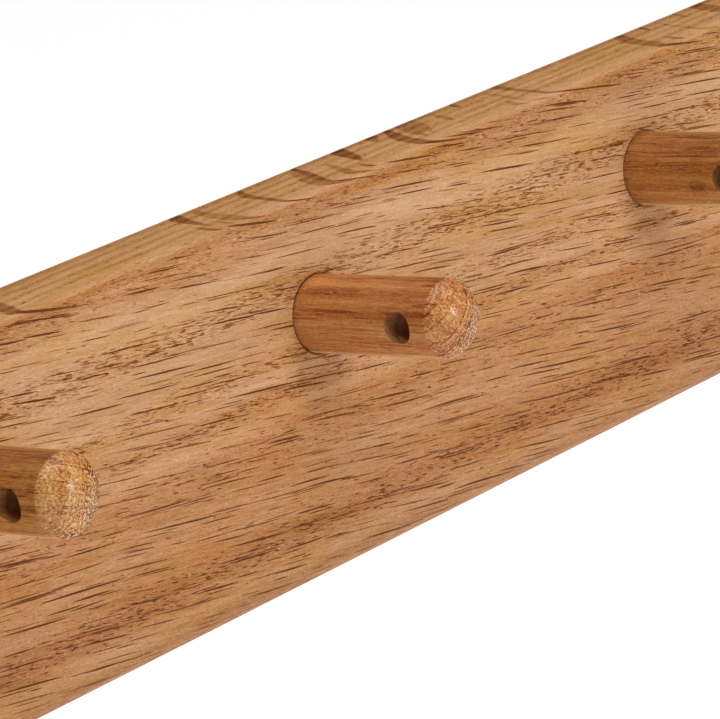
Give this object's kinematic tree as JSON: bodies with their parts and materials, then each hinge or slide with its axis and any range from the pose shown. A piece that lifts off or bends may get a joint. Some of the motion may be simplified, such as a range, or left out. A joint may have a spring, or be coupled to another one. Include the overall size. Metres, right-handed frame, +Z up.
{
  "type": "wall hook rack",
  "caption": "Straight solid oak wall rail with a row of round oak pegs, each drilled across near its rounded end, hung on concealed keyhole plates.",
  "frame": {"origin": "centre of the rail's flat back face", "axes": "+X along the rail, +Y out of the back face into the wall, +Z up; the pegs point towards -Y"},
  "size_m": [0.55, 0.0626, 0.076],
  "materials": {
    "rail_oak": "oiled solid oak, grain along the rail",
    "peg_oak": "oiled turned oak, grain along the peg",
    "plate_steel": "zinc-plated sheet steel",
    "screw_steel": "zinc-plated steel"
  },
  "bodies": {
    "root": {"rail": "rail_oak", "peg_1": "peg_oak", "peg_2": "peg_oak", "peg_3": "peg_oak", "peg_4": "peg_oak", "peg_5": "peg_oak", "keyhole_plate_left": "plate_steel", "keyhole_plate_right": "plate_steel", "plate_screw_left_upper": "screw_steel", "plate_screw_left_lower": "screw_steel", "plate_screw_right_upper": "screw_steel", "plate_screw_right_lower": "screw_steel"}
  },
  "joints": []
}
